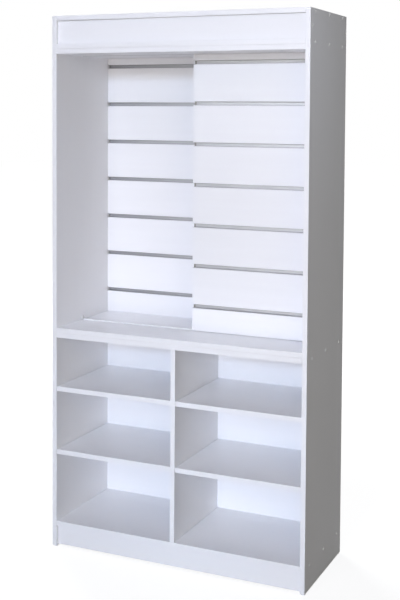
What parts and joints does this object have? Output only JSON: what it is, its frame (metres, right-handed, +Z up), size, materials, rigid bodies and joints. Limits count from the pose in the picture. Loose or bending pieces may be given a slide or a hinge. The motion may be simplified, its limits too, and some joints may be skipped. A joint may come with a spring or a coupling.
{
  "type": "shop display unit",
  "caption": "Tall white shop display unit: slat-wall upper bay with aluminium slot inserts, a half-width slat panel sliding on a counter rail, and an open shelf base with a centre divider.",
  "frame": {"origin": "on the floor under the middle of the unit's width and depth", "axes": "+Z up, +X to the viewer's right facing the open front, -Y out of the open front"},
  "size_m": [1.01, 0.4, 2],
  "materials": {
    "white_board": "white melamine-faced chipboard, satin, white edge banding",
    "white_slat_board": "white melamine-faced slotted board, satin",
    "aluminium": "extruded, natural anodised",
    "white_plastic": "extruded and moulded white plastic",
    "clear_rubber": "clear soft stop",
    "nylon": "natural moulded nylon",
    "zinc_steel": "bright zinc plated"
  },
  "bodies": {
    "cabinet": {"left_side_panel": "white_board", "right_side_panel": "white_board", "top_board": "white_board", "header_fascia": "white_board", "header_back": "white_board", "header_board": "white_board", "header_soffit": "white_board", "counter_top": "white_board", "counter_base": "white_board", "centre_divider": "white_board", "left_lower_shelf": "white_board", "left_upper_shelf": "white_board", "right_lower_shelf": "white_board", "right_upper_shelf": "white_board", "bottom_board": "white_board", "kickboard": "white_board", "lower_back_panel": "white_board", "rear_slat_panel": "white_slat_board", "rear_slat_insert_1": "aluminium", "rear_slat_insert_2": "aluminium", "rear_slat_insert_3": "aluminium", "rear_slat_insert_4": "aluminium", "rear_slat_insert_5": "aluminium", "rear_slat_insert_6": "aluminium", "rear_slat_insert_7": "aluminium", "top_guide_channel": "aluminium", "bottom_rail": "white_plastic", "left_front_glide": "white_plastic", "left_rear_glide": "white_plastic", "right_front_glide": "white_plastic", "right_rear_glide": "white_plastic", "left_bumper": "clear_rubber", "right_bumper": "clear_rubber"},
    "sliding_panel": {"front_slat_panel": "white_slat_board", "front_slat_insert_1": "aluminium", "front_slat_insert_2": "aluminium", "front_slat_insert_3": "aluminium", "front_slat_insert_4": "aluminium", "front_slat_insert_5": "aluminium", "front_slat_insert_6": "aluminium", "front_slat_insert_7": "aluminium", "left_roller_housing": "zinc_steel", "right_roller_housing": "zinc_steel", "left_axle_pin": "zinc_steel", "right_axle_pin": "zinc_steel", "roller_screw_1": "zinc_steel", "roller_screw_2": "zinc_steel", "roller_screw_3": "zinc_steel", "roller_screw_4": "zinc_steel", "left_top_guide": "nylon", "right_top_guide": "nylon"},
    "left_roller": {"left_roller_wheel": "nylon"},
    "right_roller": {"right_roller_wheel": "nylon"}
  },
  "joints": [
    {"name": "panel_slide", "type": "slide", "parent": "cabinet", "child": "sliding_panel", "axis": [1, 0, 0], "range_m": [-0.472, 0]},
    {"name": "left_roller_spin", "type": "hinge", "parent": "sliding_panel", "child": "left_roller", "pos_m": [0.0642, -0.019, 0.8496], "axis": [0, 1, 0], "continuous": true},
    {"name": "right_roller_spin", "type": "hinge", "parent": "sliding_panel", "child": "right_roller", "pos_m": [0.4082, -0.019, 0.8496], "axis": [0, 1, 0], "continuous": true}
  ],
  "couplings": [
    {"joint": "left_roller_spin", "follows": "panel_slide", "rad_per_m": 125},
    {"joint": "right_roller_spin", "follows": "panel_slide", "rad_per_m": 125}
  ]
}
